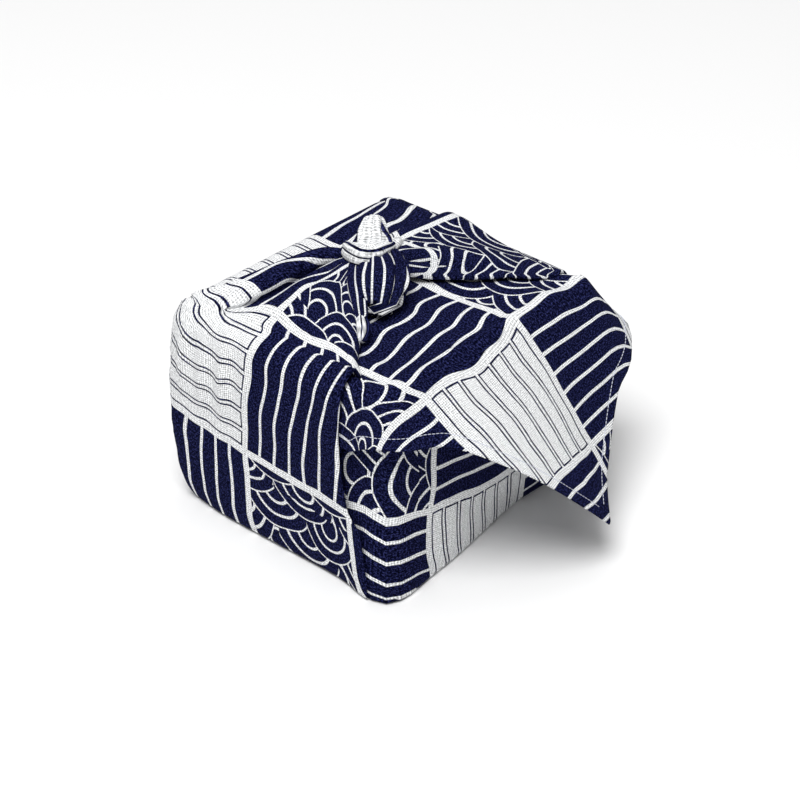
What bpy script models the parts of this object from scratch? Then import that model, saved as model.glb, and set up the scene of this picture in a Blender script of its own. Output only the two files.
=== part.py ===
"""Furoshiki wrap: one square of cotton folded round a box-shaped parcel and tied on top.

The cloth is a hollow sheet.  Its +X side turns in under the roof as the inner flap; the flap from the -X side
crosses the roof and hangs free past +X down to its corner.  The -Y and +Y sides run up over the top edges as two
gathered ties, which meet in a square knot.  The parcel itself is not part of the object.

Frame: metres, +Z up, origin at the middle of the base, on the surface that the wrap rests on.
"""
from math import cos, pi, sin

import bpy
import numpy as np

# ---- driving dimensions -------------------------------------------------------------------------------------
PARCEL_X = 0.112            # wrapped body along X, outside
PARCEL_Y = 0.127            # along Y, outside
PARCEL_H = 0.0905           # floor to the roof's upper face, beside the ties
CLOTH = 0.002               # thickness given to the cloth
CORNER = 0.010              # radius of the upright edges
TOP_EDGE = 0.007            # radius over the top edges
FOOT_EDGE = 0.005           # radius round the base
LAYER_GAP = 0.0010          # air between the roof and the inner flap
INNER_FLAP = 0.024          # how far the inner flap runs in under the roof
INNER_FLAP_HALF = 0.052     # half its width along Y
INNER_RIM = 0.0010          # how far the other walls turn in under it
RECESS_FROM = 0.0785        # height of the walls' step in under the roof's skirt
EMBED = 0.0008              # how deep a fused layer sits in the one under it

# Outward swell of each wall at mid height, in the order -Y, +X, +Y, -X.
SWELL = (0.0016, 0.0004, 0.0014, 0.0018)
WALL_STRAIGHTS = (8, 10, 8, 10)   # steps along each wall's flat stretch
CORNER_STEPS = 4
WALL_HEIGHTS = (0.016, 0.036, 0.056, 0.072)
ROOF_RINGS = (0.25, 0.55, 0.86)
ROOF_SAG = 0.0012           # the roof dips this much between the ties and its edges

# The roof's own edge, round the whole body.  along: along the top edge from the middle of the +X side, both ways
# round the upright edges; length: from the roof down to the hem; lean: degrees that it stands off plumb; clear: its
# outer face off the wall.  Past the last rows it is the short skirt by which the roof joins the other three walls.
ROOF_EDGE = (
    # along   length  lean   clear
    (-0.0980, 0.0210, 0.0, 0.0000),
    (-0.0860, 0.0330, 2.0, 0.0026),
    (-0.0700, 0.0330, 4.0, 0.0032),
    (-0.0620, 0.0290, 12.0, 0.0032),
    (-0.0500, 0.0340, 36.0, 0.0032),
    (-0.0300, 0.0520, 44.0, 0.0032),
    (0.0000, 0.0810, 38.0, 0.0032),
    (0.0107, 0.0915, 35.0, 0.0032),
    (0.0300, 0.0730, 29.0, 0.0032),
    (0.0535, 0.0500, 24.0, 0.0032),
    (0.0700, 0.0330, 16.0, 0.0032),
    (0.0860, 0.0230, 5.0, 0.0024),
    (0.0980, 0.0210, 0.0, 0.0000),
)
EDGE_ROWS = 5               # rows from the turn of the edge to the hem
OPEN_SIDE = (0.076, 0.096)  # along: the roof is free of the walls inside the first, joined to them past the second
RECESS = 0.0011             # the walls step in this much under the roof's skirt

# The tie sheets stand on the -Y and +Y walls.  height: above the floor; fold: x of the fold edge near +X;
# wrap: how far the sheet runs round the upright edge on to the -X side; lift: of the fold edge off the wall.
SIDE_SHEETS = {
    "front": (
        # height  fold    wrap    lift
        (0.0020, 0.0490, 0.0060, 0.0016),
        (0.0150, 0.0480, 0.0090, 0.0020),
        (0.0290, 0.0460, 0.0130, 0.0028),
        (0.0370, 0.0400, 0.0150, 0.0036),
        (0.0550, 0.0380, 0.0170, 0.0052),
        (0.0700, 0.0375, 0.0120, 0.0060),
        (0.0835, 0.0385, 0.0030, 0.0060),
    ),
    "back": (
        # height  fold    wrap    lift
        (0.0020, 0.0500, 0.0060, 0.0016),
        (0.0200, 0.0480, 0.0100, 0.0020),
        (0.0400, 0.0430, 0.0160, 0.0030),
        (0.0650, 0.0410, 0.0150, 0.0048),
        (0.0835, 0.0414, 0.0030, 0.0058),
    ),
}
SHEET_LIFT = 0.0014         # the sheet's outer face off the wall away from its fold

# The ties over the roof, from the top edge to the knot: both edges of the band on the roof (back_* is nearer -X,
# fold_* nearer +X), the height of the roll along the -X edge, of the valley beside it, of the panel beyond it,
# and of the roll along the fold edge.
TIES = {
    "front": (
        # back_x  back_y   fold_x  fold_y   roll    valley  panel   fold
        (-0.0500, -0.0560, 0.0385, -0.0580, 0.0022, 0.0016, 0.0034, 0.0030),
        (-0.0430, -0.0480, 0.0330, -0.0500, 0.0060, 0.0022, 0.0048, 0.0040),
        (-0.0375, -0.0360, 0.0225, -0.0385, 0.0082, 0.0026, 0.0066, 0.0052),
        (-0.0335, -0.0200, 0.0090, -0.0260, 0.0100, 0.0040, 0.0085, 0.0065),
        (-0.0270, -0.0060, 0.0000, -0.0150, 0.0110, 0.0065, 0.0100, 0.0080),
        (-0.0190, -0.0010, -0.0050, -0.0060, 0.0110, 0.0080, 0.0105, 0.0090),
    ),
    "back": (
        (-0.0497, 0.0561, 0.0408, 0.0573, 0.0020, 0.0018, 0.0034, 0.0040),
        (-0.0440, 0.0480, 0.0375, 0.0480, 0.0036, 0.0030, 0.0050, 0.0070),
        (-0.0390, 0.0360, 0.0300, 0.0330, 0.0060, 0.0042, 0.0070, 0.0095),
        (-0.0320, 0.0240, 0.0190, 0.0190, 0.0085, 0.0060, 0.0088, 0.0108),
        (-0.0240, 0.0150, 0.0060, 0.0090, 0.0100, 0.0080, 0.0100, 0.0110),
        (-0.0170, 0.0080, -0.0020, 0.0040, 0.0105, 0.0090, 0.0105, 0.0105),
    ),
}
# Where those heights stand across the band, from its -X edge (0) to its fold edge (1).
TIE_SECTION = (
    # across  height
    (0.06, "roll"),
    (0.20, "roll"),
    (0.34, "valley"),
    (0.55, "panel"),
    (0.80, "panel"),
    (0.94, "fold"),
)
TIE_STEPS = (0.0, 0.012, 0.04, 0.09, 0.15, 0.21, 0.27, 0.33, 0.40, 0.48, 0.56, 0.64, 0.72, 0.80, 0.87, 0.93, 0.97,
             0.99, 1.0)
FOLD_ROUND = 0.03           # share of the width over which a tie's edges round down

# The knot and its tails: swept bands.  Each row: x, y, height over the roof, half width across, half thickness.
KNOT_BANDS = {
    "upper_turn": (
        # x       y        height  width   thickness
        (-0.0230, -0.0080, 0.0050, 0.0050, 0.0036),
        (-0.0190, -0.0050, 0.0110, 0.0066, 0.0046),
        (-0.0110, -0.0005, 0.0158, 0.0078, 0.0052),
        (-0.0020, 0.0040, 0.0145, 0.0070, 0.0048),
        (0.0040, 0.0075, 0.0085, 0.0056, 0.0040),
        (0.0060, 0.0085, 0.0030, 0.0040, 0.0034),
    ),
    "lower_turn": (
        (-0.0130, 0.0020, 0.0070, 0.0056, 0.0036),
        (-0.0050, -0.0040, 0.0125, 0.0092, 0.0050),
        (0.0020, -0.0110, 0.0130, 0.0112, 0.0058),
        (0.0085, -0.0175, 0.0105, 0.0108, 0.0060),
        (0.0135, -0.0225, 0.0060, 0.0088, 0.0052),
        (0.0150, -0.0245, 0.0020, 0.0064, 0.0034),
    ),
    "front_tail": (
        (0.0080, -0.0190, 0.0060, 0.0078, 0.0040),
        (0.0133, -0.0262, 0.0057, 0.0076, 0.0032),
        (0.0190, -0.0335, 0.0046, 0.0064, 0.0026),
        (0.0250, -0.0400, 0.0034, 0.0046, 0.0022),
        (0.0300, -0.0450, 0.0026, 0.0020, 0.0014),
    ),
    "back_tail": (
        (-0.0080, 0.0000, 0.0110, 0.0074, 0.0050),
        (-0.0135, 0.0075, 0.0150, 0.0088, 0.0044),
        (-0.0190, 0.0140, 0.0172, 0.0084, 0.0034),
        (-0.0240, 0.0200, 0.0170, 0.0060, 0.0026),
        (-0.0280, 0.0240, 0.0158, 0.0024, 0.0016),
    ),
}
BAND_SIDES = 18             # points round a band's section
PLEATS = 5                  # pleats round a band
PLEAT_DEPTH = 0.13          # of the band's half thickness
PLEAT_TURN = 0.16           # radians that the pleats turn from section to section
BAND_SUBSTEPS = 2           # sections per stretch of a band

NAVY = (0.010, 0.014, 0.110, 1.0)
ROUGHNESS = 0.92

# Wall frames seen from above, in the order -Y, +X, +Y, -X: along the wall, and outwards.
ALONG = np.array([(1, 0), (0, 1), (-1, 0), (0, -1)], float)
OUT = np.array([(0, -1), (1, 0), (0, 1), (-1, 0)], float)
HALF = (PARCEL_X / 2, PARCEL_Y / 2, PARCEL_X / 2, PARCEL_Y / 2)
REACH = (PARCEL_Y / 2, PARCEL_X / 2, PARCEL_Y / 2, PARCEL_X / 2)


# ---- helpers ------------------------------------------------------------------------------------------------
def smooth(x, xs, ys):
    """Value at x of an eased line through (xs, ys)."""
    if x <= xs[0]:
        return ys[0]
    if x >= xs[-1]:
        return ys[-1]
    k = int(np.searchsorted(xs, x, side="right")) - 1
    f = (x - xs[k]) / (xs[k + 1] - xs[k])
    slope = [0.0 if i in (0, len(xs) - 1) else (ys[i + 1] - ys[i - 1]) / (xs[i + 1] - xs[i - 1]) for i in (k, k + 1)]
    span = xs[k + 1] - xs[k]
    return ((1 + 2 * f) * (1 - f) ** 2 * ys[k] + f * (1 - f) ** 2 * span * slope[0]
            + f * f * (3 - 2 * f) * ys[k + 1] + f * f * (f - 1) * span * slope[1])


def column(rows, index):
    return [row[index] for row in rows]


def around(wall, along, inset=0.0):
    """Point and outward normal on the body's plan, `along` metres round it from the middle of a wall."""
    radius = CORNER - inset
    while True:
        straight = HALF[wall] - CORNER
        corner = CORNER * pi / 2
        if along > straight + corner:
            along -= straight + corner + HALF[(wall + 1) % 4] - CORNER
            wall = (wall + 1) % 4
        elif along < -straight - corner:
            along += straight + corner + HALF[(wall - 1) % 4] - CORNER
            wall = (wall - 1) % 4
        else:
            break
    flat = float(np.clip(along, -straight, straight))
    turn = (along - flat) / CORNER
    normal = OUT[wall] * cos(turn) + ALONG[wall] * sin(turn)
    centre = ALONG[wall] * flat + OUT[wall] * (REACH[wall] - CORNER)
    return centre + radius * normal, normal, wall, flat / straight


def on_wall(wall, along, height, lift=0.0):
    """A point on the wall's outer face, swollen at mid height, moved out by `lift`."""
    flat, normal, wall, across = around(wall, along)
    swell = SWELL[wall] * (1 - across ** 2) * sin(pi * min(max(height / PARCEL_H, 0), 1))
    flat = flat + normal * (swell + lift)
    return np.array((flat[0], flat[1], height))


def over_edge(wall, along, angle, lift=0.0, drop=0.0):
    """A point over the rounded top edge: angle 0 on the roof side, pi/2 on the wall side."""
    flat, normal, wall, _ = around(wall, along)
    flat = flat + normal * ((TOP_EDGE + lift) * sin(angle) - TOP_EDGE)
    return np.array((flat[0], flat[1], PARCEL_H - drop - TOP_EDGE + (TOP_EDGE + lift) * cos(angle)))


def perimeter():
    """(wall, along) of each upright line of points, anticlockwise from the start of the -Y wall."""
    line = []
    for wall, steps in enumerate(WALL_STRAIGHTS):
        straight = HALF[wall] - CORNER
        line += [(wall, -straight + 2 * straight * k / steps) for k in range(steps + 1)]
        line += [(wall, straight + CORNER * pi / 2 * k / CORNER_STEPS) for k in range(1, CORNER_STEPS)]
    return line


def mesh_object(name, points, faces, collection):
    mesh = bpy.data.meshes.new(name)
    mesh.from_pydata([tuple(p) for p in points], [], faces)
    mesh.validate()
    mesh.shade_smooth()
    thing = bpy.data.objects.new(name, mesh)
    collection.objects.link(thing)
    return thing


def quads(rows, closed=False):
    """Faces between neighbouring rows of point numbers."""
    faces = []
    for low, high in zip(rows[:-1], rows[1:]):
        count = len(low)
        for k in range(count if closed else count - 1):
            n = (k + 1) % count
            faces.append((low[k], low[n], high[n], high[k]))
    return faces


# ---- the wrapped body ---------------------------------------------------------------------------------------
def from_x_side(wall, along):
    """How far round the body a place is from the middle of the +X side, negative towards -Y."""
    def straight_and_corner(half):
        return half - CORNER + CORNER * pi / 4

    reach_x, reach_y = straight_and_corner(HALF[1]), straight_and_corner(HALF[0])
    return along + {0: -reach_x - reach_y, 1: 0.0, 2: reach_x + reach_y, 3: 2 * (reach_x + reach_y)}[wall]


def signed_place(wall, along):
    """from_x_side, folded so that the -X side's two halves count from both ways round."""
    full = 2 * (2 * (HALF[0] + HALF[1]) - 4 * CORNER + CORNER * pi)
    place = from_x_side(wall, along)
    return place - full if place > full / 2 else place


def ring_sheet(name, rows, collection):
    """A sheet of rings round the body, closed by a fan at its first row, thickened inwards."""
    line = perimeter()
    count = len(line)
    points = [rows[0]]
    rings = []
    for make in rows[1:]:
        rings.append(list(range(len(points), len(points) + count)))
        points += [make(wall, along) for wall, along in line]
    faces = [(0, rings[0][(k + 1) % count], rings[0][k]) for k in range(count)] + quads(rings, closed=True)
    sheet = mesh_object(name, points, faces, collection)
    thick = sheet.modifiers.new("cloth thickness", "SOLIDIFY")
    thick.thickness = CLOTH
    thick.offset = -1
    return sheet


def body_sheet(collection):
    """Base and walls, turned in at the top: far in on the +X side as the inner flap, a little elsewhere."""
    drop = CLOTH + LAYER_GAP

    def base_row(share):
        return lambda w, a: np.append(around(w, a)[0] * share, 0.0)

    def foot_row(angle):
        return lambda w, a: np.append(
            around(w, a)[0] - around(w, a)[1] * FOOT_EDGE * (1 - sin(angle)), FOOT_EDGE * (1 - cos(angle)))

    def recess(w, a):
        near, far = OPEN_SIDE
        return -RECESS * float(np.clip((abs(signed_place(w, a)) - near) / (far - near), 0, 1))

    def wall_row(height, inset=0.0):
        return lambda w, a: on_wall(w, a, height, recess(w, a) * inset)

    def turn_row(angle):
        return lambda w, a: over_edge(w, a, angle, recess(w, a), drop)

    def inner_row(part):
        def place(w, a):
            flat, normal, _, _ = around(w, a)
            flat = flat - normal * (TOP_EDGE + INNER_RIM * (1 + part))
            tongue = max(0.0, 1 - (flat[1] / INNER_FLAP_HALF) ** 2) if normal[0] > 0.99 else 0.0
            return np.array((flat[0] - INNER_FLAP * part * tongue, flat[1], PARCEL_H - drop + recess(w, a)))
        return place

    rows = [np.zeros(3), base_row(0.5), base_row(0.92 - FOOT_EDGE / PARCEL_X), foot_row(0), foot_row(pi / 4)]
    rows += [wall_row(height) for height in WALL_HEIGHTS]
    rows += [wall_row(RECESS_FROM, 1.0), turn_row(pi / 2), turn_row(pi / 4), turn_row(0)]
    rows += [inner_row(0.0), inner_row(0.5), inner_row(1.0)]
    return ring_sheet("furoshiki_cloth", rows, collection)


def roof_sheet(collection):
    """The roof with its skirt and the hanging flap, which is the skirt's long part on the +X side."""
    def roof_row(share):
        def place(w, a):
            flat, normal, _, _ = around(w, a)
            inner = (flat - normal * TOP_EDGE) * share
            return np.array((inner[0], inner[1], PARCEL_H - ROOF_SAG * sin(pi * share)))
        return place

    def edge_row(row):
        return lambda w, a: edge_point(w, a, row)

    rows = [np.array((0, 0, PARCEL_H))] + [roof_row(share) for share in ROOF_RINGS]
    rows += [edge_row(row) for row in range(EDGE_ROWS + 3)]
    sheet = ring_sheet("roof", rows, collection)
    sheet.data.flip_normals()
    return sheet


def edge_point(wall, along, row):
    """Row by row over the top edge, then down the roof's skirt or the hanging flap to its hem."""
    place = signed_place(wall, along)
    length, lean, clear = (smooth(place, column(ROOF_EDGE, 0), column(ROOF_EDGE, c)) for c in (1, 2, 3))
    lean *= pi / 180
    turn = pi / 2 - lean
    lift = clear * min(1.0, row / 2)
    if row <= 2:
        return over_edge(wall, along, turn * row / 2, lift)
    start = over_edge(wall, along, turn, lift)
    down = (length - TOP_EDGE * turn) * (row - 2) / EDGE_ROWS
    normal = around(wall, along)[1]
    return start + np.array((normal[0] * sin(lean), normal[1] * sin(lean), -cos(lean))) * down


# ---- ties ---------------------------------------------------------------------------------------------------
def tie(side, collection):
    """One tie: the sheet on its wall, the turn over the top edge, and the gathered band up to the knot."""
    wall, mirror = (0, 1) if side == "front" else (2, -1)
    rows_outer, rows_inner = [], []
    sheet = SIDE_SHEETS[side]
    steps = TIE_STEPS

    def along_at(part, fold, wrap):
        """Along the wall, from the wrapped edge near -X (0) to the fold edge near +X (1)."""
        far = -(HALF[0] - CORNER + CORNER * pi / 2 + wrap)
        return mirror * (far + (fold - far) * part)

    def rounded(part):
        edge = 1 - min(1.0, min(part, 1 - part) / FOLD_ROUND)
        return 0.35 + 0.65 * (1 - edge ** 2) ** 0.5

    def lift_at(part, lift):
        return (SHEET_LIFT + (lift - SHEET_LIFT) * part ** 4) * rounded(part)

    for height, fold, wrap, lift in sheet:
        rows_outer.append([on_wall(wall, along_at(p, fold, wrap), height, lift_at(p, lift)) for p in steps])
        rows_inner.append([on_wall(wall, along_at(p, fold, wrap), height, -EMBED) for p in steps])
    _, fold, _, lift = sheet[-1]
    for angle, wrap in ((pi / 4, -CORNER * 0.5), (pi / 12, -CORNER * 0.9)):
        rows_outer.append([over_edge(wall, along_at(p, fold, wrap), angle, lift_at(p, lift)) for p in steps])
        rows_inner.append([over_edge(wall, along_at(p, fold, wrap), angle, -EMBED) for p in steps])

    for back_x, back_y, fold_x, fold_y, roll, valley, panel, fold_roll in TIES[side]:
        heights = {"roll": roll, "valley": valley, "panel": panel, "fold": fold_roll}
        levels = [heights[name] for name in column(TIE_SECTION, 1)]
        outer, inner = [], []
        for p in steps:
            x = back_x + (fold_x - back_x) * p
            y = back_y + (fold_y - back_y) * p
            outer.append(np.array((x, y, PARCEL_H + rounded(p) * smooth(p, column(TIE_SECTION, 0), levels))))
            inner.append(np.array((x, y, PARCEL_H - CLOTH * 0.6)))
        rows_outer.append(outer)
        rows_inner.append(inner)

    count = len(steps)
    points = [p for row in rows_outer for p in row] + [p for row in rows_inner for p in row]
    shift = len(rows_outer) * count
    numbers = [[r * count + k for k in range(count)] for r in range(len(rows_outer))]
    under = [[n + shift for n in row] for row in numbers]
    faces = quads(numbers) + [tuple(reversed(f)) for f in quads(under)]
    loop = (numbers[0][:-1] + [row[-1] for row in numbers[:-1]] + numbers[-1][:0:-1]
            + [row[0] for row in numbers[:0:-1]])
    for a, b in zip(loop, loop[1:] + loop[:1]):
        faces.append((b, a, a + shift, b + shift))
    if mirror < 0:
        faces = [tuple(reversed(f)) for f in faces]
    return mesh_object(side + "_tie", points, faces, collection)


# ---- knot ---------------------------------------------------------------------------------------------------
def band(name, collection):
    """A pleated band swept through its table's rows, closed at both ends."""
    rows = KNOT_BANDS[name]
    stations = list(range(len(rows)))
    total = (len(rows) - 1) * BAND_SUBSTEPS
    path = []
    for k in range(total + 1):
        t = k / BAND_SUBSTEPS
        path.append([smooth(t, stations, column(rows, c)) for c in range(5)])
    points, rings = [], []
    for k, (x, y, z, wide, thick) in enumerate(path):
        before, after = path[max(k - 1, 0)], path[min(k + 1, total)]
        forward = np.array(after[:3]) - np.array(before[:3])
        forward /= np.linalg.norm(forward)
        across = np.cross(forward, (0, 0, 1))
        across /= np.linalg.norm(across)
        up = np.cross(across, forward)
        ring = []
        for n in range(BAND_SIDES):
            turn = 2 * pi * n / BAND_SIDES
            pleat = 1 + PLEAT_DEPTH * cos(PLEATS * turn + k * PLEAT_TURN * PLEATS)
            offset = across * wide * pleat * cos(turn) + up * thick * pleat * sin(turn)
            points.append(np.array((x, y, PARCEL_H + z)) + offset)
            ring.append(len(points) - 1)
        rings.append(ring)
    faces = [tuple(reversed(f)) for f in quads(rings, closed=True)] + [tuple(rings[0]), tuple(reversed(rings[-1]))]
    return mesh_object(name, points, faces, collection)


def cotton():
    material = bpy.data.materials.new("navy cotton")
    material.use_nodes = True
    shader = material.node_tree.nodes["Principled BSDF"]
    shader.inputs["Base Color"].default_value = NAVY
    shader.inputs["Roughness"].default_value = ROUGHNESS
    shader.inputs["Metallic"].default_value = 0.0
    return material


def main():
    for thing in list(bpy.data.objects):
        bpy.data.objects.remove(thing, do_unlink=True)
    parts = bpy.data.collections.new("furoshiki wrap")
    joined = bpy.data.collections.new("shapes joined into the cloth")
    for collection in (parts, joined):
        bpy.context.scene.collection.children.link(collection)

    cloth = body_sheet(parts)
    cloth.data.materials.append(cotton())
    pieces = [roof_sheet(joined), tie("front", joined), tie("back", joined)]
    pieces += [band(name, joined) for name in KNOT_BANDS]
    for piece in pieces:
        piece.hide_render = True
        piece.display_type = "WIRE"
    union = cloth.modifiers.new("join roof, ties and knot", "BOOLEAN")
    union.operation = "UNION"
    union.solver = "EXACT"
    union.operand_type = "COLLECTION"
    union.collection = joined


main()
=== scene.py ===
"""Looks of the furoshiki wrap: one square cotton cloth, folded round a box-shaped parcel and knotted on top.

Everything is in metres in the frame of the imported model.  The cloth is one thin sheet that follows the folds
of its solid: a bag round the parcel, the roof with the flap that hangs past +X, two tie sheets and the knot.
Each point of it also knows where it lies on the flat cloth (s, t), and the print, the weave and the hem are
drawn from that.
"""
from functools import partialmethod
from math import cos, pi, radians, sin

import bmesh
import bpy
import numpy as np
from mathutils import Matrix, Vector


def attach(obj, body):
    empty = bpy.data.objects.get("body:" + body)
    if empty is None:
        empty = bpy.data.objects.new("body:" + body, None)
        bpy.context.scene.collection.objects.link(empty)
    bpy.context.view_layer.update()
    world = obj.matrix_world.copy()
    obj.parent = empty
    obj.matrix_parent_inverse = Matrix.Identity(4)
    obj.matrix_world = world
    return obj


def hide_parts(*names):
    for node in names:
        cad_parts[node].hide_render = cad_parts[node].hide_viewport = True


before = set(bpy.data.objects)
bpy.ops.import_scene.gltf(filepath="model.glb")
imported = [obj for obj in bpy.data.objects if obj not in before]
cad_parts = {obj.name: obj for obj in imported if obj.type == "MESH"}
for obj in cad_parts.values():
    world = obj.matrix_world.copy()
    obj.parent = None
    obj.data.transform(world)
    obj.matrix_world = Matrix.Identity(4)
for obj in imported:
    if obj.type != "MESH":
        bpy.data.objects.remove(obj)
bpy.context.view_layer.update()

# ---- sizes shared with the solid ----
PARCEL_X = 0.112
PARCEL_Y = 0.127
PARCEL_H = 0.0905
CORNER = 0.010
TOP_EDGE = 0.007
FOOT_EDGE = 0.0025  # the solid rounds its foot more
THICK = 0.00045  # thickness of the cotton
EDGE_FLAT = TOP_EDGE * 4 / pi  # flat cloth spent per radian over a top edge, as if it were sharp

STRAIGHT_X = PARCEL_X / 2 - CORNER
STRAIGHT_Y = PARCEL_Y / 2 - CORNER
ARC = CORNER * pi / 2
# Distance round the body from the middle of the +X side to each change between straight and corner.
STOPS = np.cumsum((0, STRAIGHT_Y, ARC, 2 * STRAIGHT_X, ARC, STRAIGHT_Y))
HALF_ROUND = STOPS[-1]
SIDE_MIDDLE = (STOPS[2] + STOPS[3]) / 2  # middle of the -Y side (negative) and of the +Y side

# Middle of each side, half its straight, outward swell at mid height.
SWELLS = (
    (0.0, STRAIGHT_Y, 0.0004),
    (SIDE_MIDDLE, STRAIGHT_X, 0.0014),
    (-SIDE_MIDDLE, STRAIGHT_X, 0.0016),
    (HALF_ROUND, STRAIGHT_Y, 0.0018),
    (-HALF_ROUND, STRAIGHT_Y, 0.0018),
)

# The roof's edge round the body: place from the middle of +X, length past the top edge, lean in degrees off
# plumb, and the face's distance off the wall.
ROOF_EDGE = np.array((
    # place    length  lean   clear
    (-0.2304, 0.0900, 0.0, 0.0007),
    (-0.1770, 0.0900, 0.0, 0.0007),
    (-0.1640, 0.0230, 0.0, 0.0004),
    (-0.0980, 0.0210, 0.0, 0.0004),
    (-0.0860, 0.0290, 2.0, 0.0026),
    (-0.0740, 0.0300, 4.0, 0.0032),
    (-0.0640, 0.0250, 12.0, 0.0032),
    (-0.0500, 0.0300, 36.0, 0.0032),
    (-0.0300, 0.0500, 44.0, 0.0032),
    (0.0000, 0.0810, 38.0, 0.0032),
    (0.0107, 0.0915, 35.0, 0.0032),
    (0.0300, 0.0730, 29.0, 0.0032),
    (0.0535, 0.0490, 27.0, 0.0029),
    (0.0600, 0.0425, 29.5, 0.0034),
    (0.0650, 0.0385, 35.5, 0.0034),
    (0.0700, 0.0350, 24.0, 0.0018),
    (0.0760, 0.0290, 4.0, 0.0008),
    (0.0860, 0.0240, 0.0, 0.0004),
    (0.0980, 0.0210, 0.0, 0.0004),
    (0.1640, 0.0230, 0.0, 0.0004),
    (0.1770, 0.0900, 0.0, 0.0007),
    (0.2304, 0.0900, 0.0, 0.0007),
))
ROOF_SAG = 0.0012  # of the roof, between its middle and its rim
# How far the back rim sinks: x, depth.  It fades in over the ranges of y and of height below.
RIM_SAG = np.array(((-0.07, 0.0), (-0.008, 0.0), (0.01, 0.0022), (0.03, 0.003), (0.045, 0.0036),
                    (0.0565, 0.0034), (0.061, 0.001), (0.0645, 0.0), (0.15, 0.0)))
RIM_SAG_Y = (0.034, 0.053)
RIM_SAG_HEIGHT = (0.050, 0.085)
HEM = 0.0046  # from the cut edge to the stitch row

# How much of the sharp upright corner shows, by height, and how square that corner is (2 would be round).
CORNER_SHARP = np.array(((0.0, 0.45), (0.012, 0.85), (0.045, 0.95),
                         (0.065, 0.75), (0.08, 0.35), (0.088, 0.0)))
CORNER_POWER = 6.4
# Where the parcel bellies out: place round the body, reach, and the swell at the heights below.
BELLY_HEIGHTS = (0.0, 0.020, 0.045, 0.065, 0.080, 0.088)
BELLIES = (
    (-(STOPS[3] + STOPS[4]) / 2, 0.016, (-0.003, 0.001, 0.002, 0.0018, 0.0008, 0.0)),
    (-(STOPS[1] + STOPS[2]) / 2, 0.014, (0.0038, 0.0026, 0.0006, 0.0, 0.0, 0.0)),
    (-0.038, 0.026, (0.003, 0.0024, 0.001, 0.0002, 0.0, 0.0)),
    (0.026, 0.028, (-0.0038, -0.0022, -0.0006, 0.0, 0.0, 0.0)),
)

# The tie sheets on the -Y and +Y walls: height, x of the fold edge near +X, reach round the -X corner, lift.
SIDE_SHEETS = {
    "front": (
        # height  fold    wrap    lift
        (0.0080, 0.0488, 0.0070, 0.0016),
        (0.0150, 0.0480, 0.0090, 0.0020),
        (0.0290, 0.0460, 0.0130, 0.0028),
        (0.0370, 0.0400, 0.0150, 0.0036),
        (0.0550, 0.0380, 0.0170, 0.0052),
        (0.0700, 0.0375, 0.0120, 0.0060),
        (0.0765, 0.0379, 0.0080, 0.0060),
        (0.0835, 0.0385, 0.0030, 0.0060),
    ),
    "back": (
        (0.0080, 0.0495, 0.0070, 0.0016),
        (0.0200, 0.0480, 0.0100, 0.0020),
        (0.0400, 0.0430, 0.0160, 0.0030),
        (0.0650, 0.0410, 0.0150, 0.0032),
        (0.0720, 0.0411, 0.0122, 0.0032),
        (0.0780, 0.0412, 0.0078, 0.0028),
        (0.0835, 0.0414, 0.0030, 0.0020),
    ),
}
SHEET_LIFT = 0.0018  # of a tie sheet off the wall, away from its fold edge
# The rows of a tie sheet at the foot: angle round it, and the part of the lift that counts there.
FOOT_ROWS = ((0.8, 0.3), (1.15, 0.6))
FOOT_WRAP = 0.7  # of the first row's reach round the -X corner
# The rows over the top edge: angle from the roof, and reach round the -X corner.
RIM_ROWS = ((pi / 4, -CORNER * 0.5), (pi / 12, -CORNER * 0.9))
# The tie sheets on the roof, from the rim to the knot: both ends of each section and its four levels.
TIES = {
    "front": (
        # back_x  back_y   fold_x  fold_y   roll    valley  panel   fold
        (-0.0500, -0.0575, 0.0400, -0.0590, 0.0034, 0.0020, 0.0030, 0.0026),
        (-0.0425, -0.0490, 0.0320, -0.0515, 0.0072, 0.0018, 0.0046, 0.0036),
        (-0.0385, -0.0380, 0.0225, -0.0400, 0.0090, 0.0018, 0.0062, 0.0048),
        (-0.0345, -0.0220, 0.0090, -0.0275, 0.0102, 0.0026, 0.0080, 0.0062),
        (-0.0280, -0.0060, 0.0000, -0.0160, 0.0110, 0.0050, 0.0098, 0.0078),
        (-0.0190, -0.0010, -0.0050, -0.0060, 0.0110, 0.0080, 0.0105, 0.0090),
    ),
    "back": (
        # back_x  back_y   fold_x  fold_y   low     ridge   brow    fold
        (-0.0497, 0.0561, 0.0415, 0.0573, 0.0026, 0.0066, 0.0026, 0.0012),
        (-0.0450, 0.0480, 0.0385, 0.0480, 0.0036, 0.0100, 0.0052, 0.0016),
        (-0.0410, 0.0360, 0.0300, 0.0335, 0.0044, 0.0104, 0.0086, 0.0022),
        (-0.0350, 0.0240, 0.0165, 0.0200, 0.0056, 0.0108, 0.0108, 0.0024),
        (-0.0270, 0.0150, 0.0050, 0.0095, 0.0078, 0.0108, 0.0116, 0.0040),
        (-0.0170, 0.0080, -0.0020, 0.0040, 0.0092, 0.0108, 0.0110, 0.0060),
    ),
}
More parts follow.
